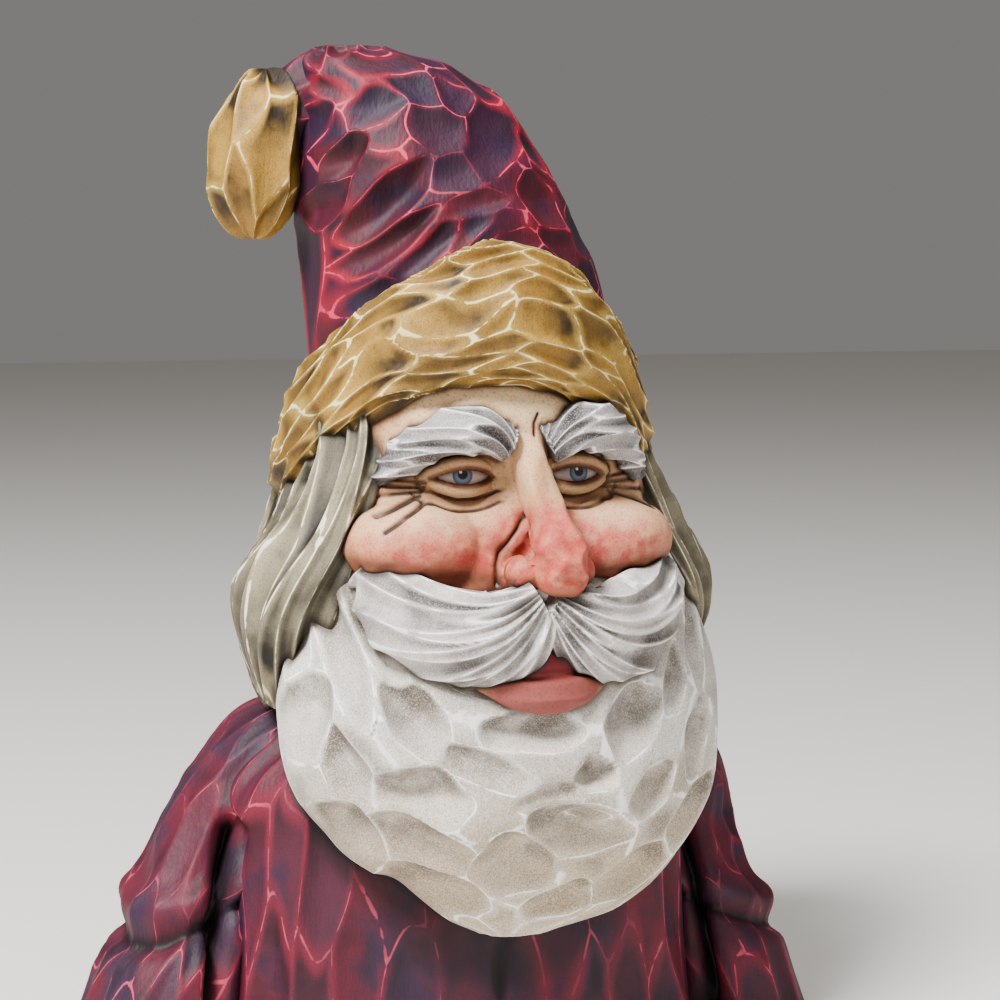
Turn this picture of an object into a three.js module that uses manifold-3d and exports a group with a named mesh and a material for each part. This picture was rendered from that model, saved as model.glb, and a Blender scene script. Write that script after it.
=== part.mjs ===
// A carved and painted wooden Santa, as a bust: slumped stocking cap with a tassel and a rolled fur band,
// long hair, bushy brows, full cheeks, fluted moustache, scooped beard and coat with two sleeves.
// It is cut from one block, so it is one solid, sawn flat below, and it stands on that underside.
// Millimetres, +Z up, the face towards -Y, the origin in the underside below the middle of the figure.
import * as THREE from "three";
import { mergeVertices } from "three/addons/utils/BufferGeometryUtils.js";
import Module from "manifold-3d";

const wasm = await Module();
wasm.setup();

// Driving sizes of the carving.
const figureHeight = 174; // underside to the top of the cap
const coatWidth = 91; // chest, between the sleeves
const coatDepth = 56;
const sleeveThickness = 22.4; // across one sleeve, seen from the front
const elbowReach = 54.6; // centre line of the coat to the middle of a sleeve, near the underside
const headWidth = 67; // face at the cheekbones
const beardWidth = 78;
const hairSpread = 35.5; // centre line to the middle of a side lock, at its fullest
const bandThickness = 12.4; // roll of fur round the cap
const bandHeight = 23;
const capLean = 19; // how far the top of the cap leans to the figure's right
const tasselWidth = 17.6;
const tasselHeight = 29;
const gougeWidth = 15; // one stroke of the wide gouge, on beard, cap and coat
const gougeDepth = 1.7;
const fluteDepth = 0.85; // one stroke of the small veiner, on hair, fur and moustache
const seamWidth = 2.4;

// The carver's proportions are counted in 145ths of the height, 1.2 mm each on this figure.
const p = figureHeight / 145;
const RIGHT = -1; // the figure's own right side, at -X
const LEFT = 1;
const FRONT = new THREE.Vector3(0, -1, 0);

// The masses are placed from the middle of the head, which stands this far from the middle of the whole
// figure's box.
const headAside = 3.2;
const headBack = 6.1;

const point = (x, y, z) => new THREE.Vector3(x, y, z);
const turn = (degrees) => THREE.MathUtils.degToRad(degrees);

// The value at share t of the way along a row of values, on a smooth curve through them.
function along(values, t) {
  const last = values.length - 1;
  const place = Math.min(Math.max(t, 0), 1) * last;
  const i = Math.min(Math.floor(place), last - 1);
  const f = place - i;
  const [b, c] = [values[i], values[i + 1]];
  const a = i > 0 ? values[i - 1] : b;
  const d = i + 2 <= last ? values[i + 2] : c;
  const bend = 2 * a - 5 * b + 4 * c - d;
  return b + 0.5 * f * (c - a + f * (bend + f * (3 * (b - c) + d - a)));
}

// A repeatable number from 0 to 1 for the i-th mark of a hand tool.
function hand(i) {
  const s = Math.sin(i * 12.9898 + 4.1414) * 43758.5453;
  return s - Math.floor(s);
}

// The closed solid of a mesh's triangles, facing out.
function solidOf(positions, triangles) {
  const build = (tris) =>
    new wasm.Manifold(
      new wasm.Mesh({
        numProp: 3,
        vertProperties: new Float32Array(positions),
        triVerts: new Uint32Array(tris),
      }),
    );
  const made = build(triangles);
  if (made.volume() > 0) return made;
  const turned = triangles.slice();
  for (let i = 0; i < turned.length; i += 3) {
    [turned[i + 1], turned[i + 2]] = [turned[i + 2], turned[i + 1]];
  }
  return build(turned);
}

function solidOfGeometry(geometry) {
  geometry.deleteAttribute("normal");
  geometry.deleteAttribute("uv");
  const merged = mergeVertices(geometry, 1e-4);
  return solidOf(merged.attributes.position.array, Array.from(merged.index.array));
}

// A closed solid from its surface's points and triangles, each open end closed by a fan over its ring.
function closed(points, triangles, ends) {
  const positions = points.flatMap((q) => [q.x, q.y, q.z]);
  const faces = triangles.slice();
  for (const ring of ends) {
    const hub = positions.length / 3;
    const middle = new THREE.Vector3();
    for (const i of ring) middle.addScaledVector(points[i], 1 / ring.length);
    positions.push(middle.x, middle.y, middle.z);
    ring.forEach((i, j) => faces.push(hub, ring[(j + 1) % ring.length], i));
  }
  return solidOf(positions, faces);
}

// Skins a surface whose places are given by a share of its length, a turn in radians and a depth to cut.
function skin(place, { sides, rings, relief = () => 0 }) {
  const points = [];
  const triangles = [];
  for (let k = 0; k < rings; k++) {
    for (let j = 0; j < sides; j++) {
      const [t, angle] = [k / (rings - 1), (2 * Math.PI * j) / sides];
      points.push(place(t, angle, relief(t, angle, j)));
      if (k + 1 === rings) continue;
      const [a, b] = [k * sides + j, k * sides + ((j + 1) % sides)];
      if ((j + k) % 2) triangles.push(a, b, b + sides, a, b + sides, a + sides);
      else triangles.push(a, b, a + sides, b, b + sides, a + sides);
    }
  }
  const first = Array.from({ length: sides }, (_, j) => j);
  const last = first.map((j) => (rings - 1) * sides + j).reverse();
  return closed(points, triangles, [first, last]);
}

// Skins the same kind of surface with overlapping gouge strokes: staggered rows of six-sided hollows
// that share their ridges, each with its middle cut to the full depth and a ring at three quarters of it.
function scooped(place, { around, rows, deep, seed }) {
  const wrap = (k) => ((k % around) + around) % around;
  const middleOf = (row, k) => {
    const n = seed + 40 * (row + 1) + wrap(k);
    const stagger = 0.5 * Math.abs(row % 2);
    return { u: k + 0.5 + stagger + 0.34 * (hand(n) - 0.5), v: row + 0.5 + 0.42 * (hand(n + 500) - 0.5) };
  };
  const at = (u, v, cut) => place(v / rows, (2 * Math.PI * u) / around, cut);
  const points = [];
  const corners = new Map();
  // A ridge corner, where three hollows meet, on the line below a row; the first and last are open rims.
  const corner = (line, k, column, hollows) => {
    const key = `${line}/${2 * wrap(k) + column}`;
    if (!corners.has(key)) {
      const mean = (c) => hollows.reduce((sum, q) => sum + q[c], 0) / hollows.length;
      const [u, v] = [mean("u"), line === 0 || line === rows ? line : mean("v")];
      corners.set(key, { index: points.length, u, v });
      points.push(at(u, v, 0));
    }
    return corners.get(key);
  };
  const triangles = [];
  for (let row = 0; row < rows; row++) {
    const shift = row % 2;
    for (let k = 0; k < around; k++) {
      const own = middleOf(row, k);
      const [left, right] = [middleOf(row, k - 1), middleOf(row, k + 1)];
      const [upLeft, upRight] = [middleOf(row + 1, k - 1 + shift), middleOf(row + 1, k + shift)];
      const [downLeft, downRight] = [middleOf(row - 1, k - 1 + shift), middleOf(row - 1, k + shift)];
      const hexagon = [
        corner(row, k, shift, [own, left, downLeft]),
        corner(row, k + shift, 1 - shift, [own, downLeft, downRight]),
        corner(row, k + 1, shift, [own, right, downRight]),
        corner(row + 1, k + 1, shift, [own, right, upRight]),
        corner(row + 1, k + shift, 1 - shift, [own, upLeft, upRight]),
        corner(row + 1, k, shift, [own, left, upLeft]),
      ];
      const hub = points.length;
      points.push(at(own.u, own.v, deep));
      for (const { u, v } of hexagon) {
        const near = u - around * Math.round((u - own.u) / around);
        points.push(at((own.u + near) / 2, (own.v + v) / 2, 0.75 * deep));
      }
      hexagon.forEach(({ index: outer }, i) => {
        const next = (i + 1) % 6;
        const [inner, innerNext, outerNext] = [hub + 1 + i, hub + 1 + next, hexagon[next].index];
        triangles.push(hub, inner, innerNext, inner, outer, outerNext, inner, outerNext, innerNext);
      });
    }
  }
  const rim = (line) => Array.from({ length: 2 * around }, (_, i) => corners.get(`${line}/${i}`).index);
  return closed(points, triangles, [rim(0), rim(rows).reverse()]);
}

// A superellipse's two coordinates at an angle; a power of 2 is an ellipse, and more is squarer.
function oval(angle, power) {
  const part = (v) => Math.sign(v) * Math.abs(v) ** (2 / power);
  return [part(Math.cos(angle)), part(Math.sin(angle))];
}

// A standing mass, lofted through stations of [height, centre x, centre y, half width, half depth].
function standing(stations, power = 2.2) {
  const columns = [0, 1, 2, 3, 4].map((c) => stations.map((s) => s[c]));
  return (t, angle, cut = 0) => {
    const [z, x, y, a, b] = columns.map((column) => along(column, t));
    const [c, s] = oval(angle, power);
    const depth = Math.min(cut, 0.5 * Math.min(a, b));
    return point(x + (a - depth) * c, y + (b - depth) * s, z);
  };
}

// A limb or lock along a path; wide is its half size across, deep its half size to the front.
function limb(path, wide, deep, power = 2.3) {
  const spine = new THREE.CatmullRomCurve3(path);
  return (t, angle, cut = 0) => {
    const tangent = spine.getTangent(t);
    const ahead = FRONT.clone().addScaledVector(tangent, -FRONT.dot(tangent)).normalize();
    const across = ahead.clone().cross(tangent);
    const [c, s] = oval(angle, power);
    const [half, reach] = [along(wide, t), along(deep, t)];
    const depth = Math.min(cut, 0.4 * Math.min(half, reach));
    return spine
      .getPoint(t)
      .addScaledVector(across, c * (half - depth))
      .addScaledVector(ahead, s * (reach - depth));
  };
}

// An egg-shaped mass, with its long axis turned about Y by tilt degrees.
function egg(centre, radii, { tilt = 0, detail = 2 } = {}) {
  const g = new THREE.IcosahedronGeometry(1, detail);
  g.scale(radii.x, radii.y, radii.z);
  g.rotateY(turn(tilt));
  g.translate(centre.x, centre.y, centre.z);
  return solidOfGeometry(g);
}

// Every second edge of a swept lock is cut back, which leaves flutes from end to end.
const flutes = (t, angle, j) => (j % 2) * fluteDepth;

// Coat: chest and sloping shoulders, covered in strokes of the wide gouge.
const chest = coatWidth / 2;
const girth = coatDepth / 2;

function coat() {
  const stations = [
    [-5 * p, -1.6 * p, 3 * p, chest * 1.06, girth * 1.06],
    [9 * p, -1.6 * p, 3 * p, chest, girth * 1.02],
    [22 * p, -1.6 * p, 3 * p, chest * 0.97, girth],
    [33 * p, -1.6 * p, 2.5 * p, chest * 0.95, girth * 0.95],
    [41 * p, -1.2 * p, 2 * p, chest * 0.91, girth * 0.87],
    [47 * p, 0, 2 * p, chest * 0.75, girth * 0.77],
    [52 * p, 0, 2 * p, chest * 0.6, girth * 0.68],
    [59 * p, 0, 2 * p, chest * 0.36, girth * 0.5],
  ];
  const around = Math.round((2.8 * (chest + girth)) / gougeWidth);
  const rows = Math.round((44 * p) / gougeWidth);
  return scooped(standing(stations, 2.7), { around, rows, deep: gougeDepth, seed: 11 });
}

// One sleeve, hanging a little behind the chest and cut off at the elbow with the coat. Each row gives
// the share of the reach, how far the pair is shifted aside, and the place to the back and up.
function sleeve(side) {
  const rows = [
    [0.41, 0.8, 4, 49],
    [0.61, 0.8, 5, 44],
    [0.725, 1, 5, 36.5],
    [0.79, -0.8, 4, 27.5],
    [0.87, -1.8, 2, 17.5],
    [0.95, -2.3, 0, 8.5],
    [1.04, -2.8, -1, -5],
  ];
  const path = rows.map(([share, aside, y, z]) =>
    point(side * elbowReach * share + aside * p, y * p, z * p),
  );
  const wide = [0.3, 0.74, 0.96, 1.01, 1.02, 1.1, 1.18].map((s) => (s * sleeveThickness) / 2);
  const deep = [0.5, 0.95, 1.1, 1.2, 1.35, 1.5, 1.6].map((s) => (s * sleeveThickness) / 2);
  return scooped(limb(path, wide, deep), { around: 6, rows: 4, deep: gougeDepth, seed: 23 + side });
}

// The deep cut at the front between a sleeve and the chest.
function armCut(side) {
  const g = new THREE.BoxGeometry(seamWidth, 14 * p, 38 * p);
  g.rotateY(turn(side === RIGHT ? 6 : -2));
  g.translate((side * 36.5 - 2.7) * p, -13 * p, 12 * p);
  return solidOfGeometry(g);
}

// Skull and face, with a hollow for each eye under the brow.
const face = headWidth / 2;
const eyeOffset = 8.1 * p;
const eyesAside = 0.6 * p; // the carved eyes sit a little to the figure's left
const noseAside = 2.4 * p; // and the tip of the nose a little more
const eyeLevel = 84.6 * p;

function head() {
  const stations = [
    [44 * p, 0, -2 * p, face * 0.7, 19 * p],
    [56 * p, 0, -4 * p, face * 0.86, 24 * p],
    [66 * p, 0, -4 * p, face * 0.94, 25 * p],
    [76 * p, 0, -3 * p, face * 0.95, 25 * p],
    [86 * p, 0, -2 * p, face * 0.89, 25.4 * p],
    [94 * p, 0, -1 * p, face * 0.81, 25.4 * p],
    [101 * p, 0, 0, face * 0.7, 23 * p],
    [106 * p, 0, 1 * p, face * 0.5, 17 * p],
  ];
  const mound = (x, z, wide, high) => Math.exp(-((x / wide) ** 2) - (z / high) ** 2);
  const surface = standing(stations);
  const features = (t, angle) => {
    if (Math.sin(angle) > 0) return 0;
    const { x: beside, z } = surface(t, angle);
    const x = Math.abs(beside);
    const off = Math.abs(beside - eyesAside);
    const under = z - 75.4 * p;
    const socket = 3.6 * p * mound(off - eyeOffset, z - eyeLevel, 6.2 * p, 4.6 * p);
    const cheek = 6 * p * mound(x - 14.2 * p, under, 8.6 * p, (under > 0 ? 6.6 : 4.8) * p);
    return socket - cheek;
  };
  return skin(surface, { sides: 44, rings: 26, relief: features });
}

function nose() {
  const path = [
    point(0.15 * noseAside, -24 * p, 90 * p),
    point(0.45 * noseAside, -27.6 * p, 84.6 * p),
    point(0.75 * noseAside, -31.6 * p, 78.8 * p),
    point(noseAside, -35.4 * p, 74 * p),
    point(0.9 * noseAside, -34.4 * p, 69.8 * p),
  ];
  const wide = [2.6, 2.5, 3.5, 4.8, 3.8].map((v) => v * p);
  const deep = [2.6, 3, 3.8, 4.8, 3.4].map((v) => v * p);
  return skin(limb(path, wide, deep, 2.1), { sides: 12, rings: 10 });
}

function nostril(side) {
  const centre = point(0.75 * noseAside + side * 4.6 * p, -31.8 * p, 72.2 * p);
  return egg(centre, point(2.7 * p, 3.8 * p, 2.8 * p), { detail: 1 });
}

function brow(side) {
  const aside = side === LEFT ? 1.2 * p : 0; // the left one starts further from the nose
  const path = [
    point(side * 2.2 * p + aside, -26.2 * p, 89.4 * p),
    point(side * 6.8 * p + aside, -26.4 * p, 91.4 * p),
    point(side * 12 * p + aside, -24.6 * p, 90.6 * p),
    point(side * 15.8 * p + aside, -21.8 * p, 87.8 * p),
    point(side * 18.8 * p + aside, -18.6 * p, 84.4 * p),
  ];
  const wide = [2.9, 3.8, 3.7, 3.2, 1.5].map((v) => v * p);
  const deep = [2.9, 3.7, 3.6, 3.1, 1.9].map((v) => v * p);
  const strands = (t, angle, j) => 0.4 * flutes(t, angle, j);
  return skin(limb(path, wide, deep, 2), { sides: 10, rings: 8, relief: strands });
}

function eyeball(side) {
  const centre = point(eyesAside + side * eyeOffset, -20.8 * p, eyeLevel);
  return egg(centre, point(5.3 * p, 5.8 * p, 4.6 * p));
}

// A lid from the outer corner of an eye over to the inner one, rising or sinking by arch.
function lid(side, arch) {
  const path = [-1, -0.5, 0, 0.5, 1].map((s) => {
    const bow = 1 - s * s;
    const x = eyesAside + side * (eyeOffset - s * 4.9 * p);
    return point(x, (-22.4 - 3.3 * bow) * p, eyeLevel + arch * bow);
  });
  const slim = [0.5, 1, 1, 1, 0.5].map((v) => 0.8 * v * p);
  return skin(limb(path, slim, slim, 2), { sides: 6, rings: 7 });
}

function moustache(side) {
  const path = [
    point(side * 0.6 * p, -34.4 * p, 66.4 * p),
    point(side * 6.8 * p, -34.8 * p, 63.2 * p),
    point(side * 13.2 * p, -32.2 * p, 63.8 * p),
    point(side * 18.6 * p, -28 * p, 67 * p),
    point(side * 22.2 * p, -22.6 * p, 71.4 * p),
  ];
  const wide = [5, 7, 7.2, 5.8, 2.6].map((v) => v * p);
  const deep = [2.6, 4, 4.2, 3.6, 2].map((v) => v * p);
  return skin(limb(path, wide, deep), { sides: 16, rings: 9, relief: flutes });
}

function lowerLip() {
  const path = [-1, -0.5, 0, 0.5, 1].map((s) =>
    point(s * 9.4 * p, (-36 + 2.6 * s * s) * p, (55.4 + 1.6 * s * s) * p),
  );
  const wide = [0.8, 2.3, 2.9, 2.3, 0.8].map((v) => v * p);
  const deep = [0.9, 2.2, 2.8, 2.2, 0.9].map((v) => v * p);
  return skin(limb(path, wide, deep, 2), { sides: 8, rings: 9 });
}

// The parted mouth above the lower lip, cut in between the halves of the moustache.
function mouthCut() {
  return egg(point(0, -37.6 * p, 59.4 * p), point(5 * p, 4 * p, 2 * p), { detail: 1 });
}

// Beard: a full spade that lies on the chest, coming to a blunt point, scooped all over.
function beard() {
  const spread = beardWidth / 2;
  const swept = 3.4 * p; // its lower part is fuller toward the figure's left
  const stations = [
    [20 * p, -0.15 * swept, -23 * p, spread * 0.12, 3 * p],
    [22.4 * p, 0.7 * swept, -21.4 * p, spread * 0.38, 7.4 * p],
    [26.6 * p, swept, -19.4 * p, spread * 0.6, 12 * p],
    [32.5 * p, 0.5 * swept, -18 * p, spread * 0.81, 16.8 * p],
    [41 * p, 0.1 * swept, -17 * p, spread * 0.95, 20.6 * p],
    [50 * p, 0, -16 * p, spread, 20.8 * p],
    [58 * p, 0, -15 * p, spread * 0.99, 19 * p],
    [66 * p, 0, -13.5 * p, spread * 0.92, 16.6 * p],
    [73 * p, 0, -12 * p, spread * 0.83, 14 * p],
    [80 * p, 0, -10 * p, spread * 0.72, 11 * p],
  ];
  const [around, rows] = [Math.round((5 * spread) / gougeWidth), Math.round((62 * p) / gougeWidth)];
  return scooped(standing(stations), { around, rows, deep: 1.2 * gougeDepth, seed: 3 });
}

// A hanging lock at the side of the face, flared and fluted from end to end.
function sideLock(side) {
  const swept = side === RIGHT ? 3 * p : 0; // the right one is combed further forward, over the cheek
  const path = [
    point(side * hairSpread * 0.66, -1 * p, 95 * p),
    point(side * hairSpread * 0.69, -2.8 * p - swept, 87 * p),
    point(side * hairSpread * 0.83, -4.4 * p - swept, 76 * p),
    point(side * hairSpread, -4 * p - swept, 65 * p),
    point(side * hairSpread * 0.98, -2.4 * p, 53.5 * p),
  ];
  const wide = [4.6, 4.8, 5.8, 6.4, 3].map((v) => v * p);
  const deep = [11, 13, 14, 13, 7].map((v) => v * p);
  const strands = (t, angle, j) => 1.2 * flutes(t, angle, j);
  return skin(limb(path, wide, deep), { sides: 20, rings: 8, relief: strands });
}

function backHair() {
  const stations = [
    [46 * p, 0, 8 * p, hairSpread * 0.78, 14 * p],
    [52 * p, 0, 7 * p, hairSpread * 1.02, 20 * p],
    [61 * p, 0, 6 * p, hairSpread * 1.08, 23.5 * p],
    [73 * p, 0, 5 * p, hairSpread * 0.98, 24 * p],
    [86 * p, 0, 4 * p, hairSpread * 0.8, 23 * p],
    [91 * p, 0, 3 * p, hairSpread * 0.68, 20 * p],
    [96 * p, 0, 2 * p, hairSpread * 0.5, 15 * p],
  ];
  const strands = (t, angle, j) => 1.4 * flutes(t, angle, j);
  return skin(standing(stations), { sides: 40, rings: 8, relief: strands });
}

// Roll of fur round the cap: it sits high over the brow, and low at the sides and behind.
function furBand() {
  const [radiusX, radiusY] = [face * 0.8, 24.6 * p];
  const lean = turn(9); // how far its face leans in towards its top
  const peak = turn(8); // its highest place is a little to the figure's right
  const level = (a) => (91.6 + 11.4 * Math.cos(a + peak) + 4 * Math.cos(2 * a + 2 * peak)) * p;
  const [round, section] = [36, 10];
  const positions = [];
  const triangles = [];
  for (let j = 0; j < round; j++) {
    const a = (2 * Math.PI * j) / round;
    for (let i = 0; i < section; i++) {
      const [c, s] = oval((2 * Math.PI * i) / section, 2.6);
      const wave = 1 + Math.sin(3 * a + 1.7 * i) + 0.8 * (hand(j * section + i) - 0.5);
      const reach = c > 0 ? bandThickness / 2 : 0.8 * bandThickness; // its inner side is sunk in the cap
      const out = c * (reach - 0.6 * fluteDepth * wave - 0.7 * flutes(0, 0, i));
      const up = (s * bandHeight * (1 + 0.06 * Math.sin(3 * a + 1))) / 2;
      const away = out * Math.cos(lean) - up * Math.sin(lean);
      const rise = up * Math.cos(lean) + out * Math.sin(lean);
      const [x, y] = [Math.sin(a) * (radiusX + away), -Math.cos(a) * (radiusY + away)];
      positions.push(x, y + 0.5 * p, level(a) + rise);
      const next = ((j + 1) % round) * section;
      const [q, r] = [j * section + i, j * section + ((i + 1) % section)];
      const [u, v] = [next + i, next + ((i + 1) % section)];
      triangles.push(q, u, v, q, v, r);
    }
  }
  return solidOf(positions, triangles);
}

// Cap: a cone that slumps to the figure's right, so that its right side stands upright.
function cap() {
  const stations = [
    [86 * p, 0, 1 * p, face * 0.72, 21 * p],
    [104 * p, -0.06 * capLean, 1 * p, face * 0.79, 22 * p],
    [115 * p, -0.13 * capLean, 1.5 * p, face * 0.76, 21.2 * p],
    [122 * p, -0.25 * capLean, 2 * p, face * 0.715, 19.8 * p],
    [128 * p, -0.35 * capLean, 2.5 * p, face * 0.68, 18.2 * p],
    [134 * p, -0.47 * capLean, 3 * p, face * 0.62, 16 * p],
    [139 * p, -0.63 * capLean, 3 * p, face * 0.52, 13 * p],
    [143 * p, -0.85 * capLean, 3 * p, face * 0.37, 9 * p],
    [145 * p, -1 * capLean, 3 * p, face * 0.16, 3.6 * p],
  ];
  const [around, rows] = [Math.round((4.5 * face) / gougeWidth), Math.round((62 * p) / gougeWidth)];
  return scooped(standing(stations), { around, rows, deep: 1.2 * gougeDepth, seed: 7 });
}

// The end of the cap, folded over sideways and down to its tassel.
const tasselCentre = point(-capLean - 13 * p, 4 * p, 129.6 * p);

function capTip() {
  const path = [
    point(-capLean + 3 * p, 3 * p, 137.6 * p),
    point(-capLean - 3 * p, 3.6 * p, 138 * p),
    point(-capLean - 8 * p, 4 * p, 135.6 * p),
    tasselCentre,
  ];
  const thick = [6, 6.6, 6.2, 5].map((v) => v * p);
  return skin(limb(path, thick, thick, 2), { sides: 12, rings: 7 });
}

function tassel() {
  return egg(tasselCentre, point(tasselWidth / 2, tasselWidth * 0.55, tasselHeight / 2), { tilt: 4 });
}

// The line where the coat fronts meet, a V-shaped groove that runs down to the figure's right.
function frontSeam() {
  const g = new THREE.BoxGeometry(seamWidth, seamWidth, 25 * p);
  g.rotateZ(turn(45));
  g.rotateY(turn(8));
  g.translate(-1.6 * p, 3 * p - girth * 1.02, 7 * p);
  return solidOfGeometry(g);
}

// The saw cut below.
function underside() {
  const g = new THREE.BoxGeometry(4 * elbowReach, 4 * elbowReach, 40 * p);
  g.translate(0, 0, -20 * p);
  return solidOfGeometry(g);
}

const lidArch = 2.4 * p;
const middle = [
  coat(), head(), nose(), lowerLip(), beard(),
  backHair(), furBand(), cap(), capTip(), tassel(),
];
const pairs = [RIGHT, LEFT].flatMap((side) => [
  sleeve(side),
  nostril(side),
  brow(side),
  eyeball(side),
  lid(side, lidArch),
  lid(side, -lidArch),
  sideLock(side),
  moustache(side),
]);
const cuts = [mouthCut(), frontSeam(), armCut(RIGHT), armCut(LEFT), underside()];
const whole = [...middle, ...pairs].reduce((a, b) => a.add(b));
const figure = cuts.reduce((a, b) => a.subtract(b), whole);

function meshOf(name, made, material) {
  const { numProp, vertProperties, triVerts } = made.getMesh();
  const positions = new Float32Array((vertProperties.length / numProp) * 3);
  for (let i = 0; i * numProp < vertProperties.length; i++) {
    positions.set(vertProperties.subarray(i * numProp, i * numProp + 3), i * 3);
  }
  const geometry = new THREE.BufferGeometry();
  geometry.setAttribute("position", new THREE.BufferAttribute(positions, 3));
  geometry.setIndex(new THREE.BufferAttribute(triVerts, 1));
  geometry.translate(headAside, headBack, 0);
  geometry.computeVertexNormals();
  const mesh = new THREE.Mesh(geometry, material);
  mesh.name = name;
  return mesh;
}

const paintedWood = new THREE.MeshStandardMaterial({
  name: "painted_wood",
  color: new THREE.Color(0.36, 0.07, 0.09),
  roughness: 0.55,
  metalness: 0,
});

const santa = new THREE.Group();
santa.name = "carved_santa";
santa.add(meshOf("santa_figure", figure, paintedWood));

export default santa;
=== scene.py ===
# %% [markdown]
# This lesson dresses a carved and painted wooden santa, a bust about as tall as a hand is long.
# The real one is cut from one block with a wide gouge, a small veiner and a knife, then painted, brushed
# over with light paint on the ridges, and rubbed with a dark stain that stays in the hollows.
# The CAD solid already has every mass and the broad strokes. Here each mass is carved again in a fine mesh,
# so that the ridges are crisp and the fine strokes show, and it gets its paint.

# %% Load the frame
from math import cos, pi, radians, sin

import bpy
import numpy as np
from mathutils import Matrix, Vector
from mathutils.bvhtree import BVHTree


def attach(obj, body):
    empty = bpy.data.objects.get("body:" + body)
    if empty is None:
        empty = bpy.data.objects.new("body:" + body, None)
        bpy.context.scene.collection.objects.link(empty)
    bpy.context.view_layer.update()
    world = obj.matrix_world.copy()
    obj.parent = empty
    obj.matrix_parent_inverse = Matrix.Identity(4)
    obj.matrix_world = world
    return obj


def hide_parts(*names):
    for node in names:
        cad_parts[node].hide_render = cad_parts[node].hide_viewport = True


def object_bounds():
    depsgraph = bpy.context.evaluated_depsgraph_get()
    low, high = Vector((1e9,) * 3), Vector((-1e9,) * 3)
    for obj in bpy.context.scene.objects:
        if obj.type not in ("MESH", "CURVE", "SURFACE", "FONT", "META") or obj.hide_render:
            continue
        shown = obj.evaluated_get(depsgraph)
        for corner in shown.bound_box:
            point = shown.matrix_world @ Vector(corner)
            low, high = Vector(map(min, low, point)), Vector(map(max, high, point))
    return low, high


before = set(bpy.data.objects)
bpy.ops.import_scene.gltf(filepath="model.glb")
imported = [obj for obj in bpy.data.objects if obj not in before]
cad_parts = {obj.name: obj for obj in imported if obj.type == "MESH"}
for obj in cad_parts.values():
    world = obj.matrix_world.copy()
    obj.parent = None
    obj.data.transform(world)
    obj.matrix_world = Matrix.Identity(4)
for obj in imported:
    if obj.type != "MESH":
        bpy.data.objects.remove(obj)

cad_low, cad_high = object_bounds()
HEIGHT = cad_high.z - cad_low.z
UNIT = HEIGHT / 145  # the carver counts the height in 145 units
HEAD = np.array([3.2, 6.1, 0]) / 174 * HEIGHT  # where the middle of the head stands
print("figure", round(HEIGHT * 1000, 1), "mm tall, one unit is", round(UNIT * 1000, 3), "mm")

# %% [markdown]
# The driving sizes are those of the solid, here counted in units, so a mass lands where the solid has it.
# Curves through a few stations give each mass its profile, as a carver checks a block with a few templates.

# %% Driving sizes, in units
MM = 145 / 174
COAT_WIDTH, COAT_DEPTH = 91 * MM, 56 * MM
SLEEVE, ELBOW_REACH = 22.4 * MM, 54.6 * MM
FACE = 67 * MM / 2
BEARD, BEARD_SWEPT = 78 * MM / 2, 3.4
HAIR = 35.5 * MM
BAND_THICKNESS, BAND_HEIGHT = 12.4 * MM, 23 * MM
CAP_LEAN = 19 * MM
TASSEL_WIDTH, TASSEL_HEIGHT = 17.6 * MM, 29 * MM
GOUGE_DEPTH = 1.7 * MM
EYE_OFFSET, EYE_LEVEL, EYES_ASIDE, NOSE_ASIDE = 8.1, 84.6, 0.6, 2.2
RIGHT, LEFT = -1, 1
FRONT_TURN = 0.75  # the front of a standing mass is three quarters of the way round
print("eyes", round(2 * EYE_OFFSET * UNIT * 1000, 1), "mm apart")

# %% [markdown]
# A mass is a function of two things: a share of the way along it and an angle round it. A standing mass is
# read off level stations, a limb off a path, and an egg off a circle. Their section is a superellipse.

# %% Forms
def along(values, t):
    """The value at share t of the way along a row of values, on a smooth curve through them."""
    values = np.asarray(values, float)
    place = np.clip(t, 0, 1) * (len(values) - 1)
    i = np.minimum(place.astype(int), len(values) - 2)
    f = place - i
    b, c = values[i], values[i + 1]
    a, d = values[np.maximum(i - 1, 0)], values[np.minimum(i + 2, len(values) - 1)]
    return b + 0.5 * f * (c - a + f * (2 * a - 5 * b + 4 * c - d + f * (3 * (b - c) + d - a)))


def hand(i):
    """A repeatable number from 0 to 1 for the i-th mark of a hand tool."""
    s = np.sin(np.asarray(i, float) * 12.9898 + 4.1414) * 43758.5453
    return s - np.floor(s)


def oval(angle, power):
    """A superellipse's two coordinates; a power of 2 is an ellipse, and more is squarer."""
    c, s = np.cos(angle), np.sin(angle)
    return np.sign(c) * np.abs(c) ** (2 / power), np.sign(s) * np.abs(s) ** (2 / power)


def standing(stations, power=2.2):
    """A standing mass through stations of height, centre x and y, half width and half depth."""
    columns = list(zip(*stations))

    def place(t, angle, swell=1):
        z, x, y, a, b = (along(column, t) for column in columns)
        c, s = oval(angle, power)
        return np.stack([x + swell * a * c, y + swell * b * s, z + 0 * c], axis=-1)

    return place


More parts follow.
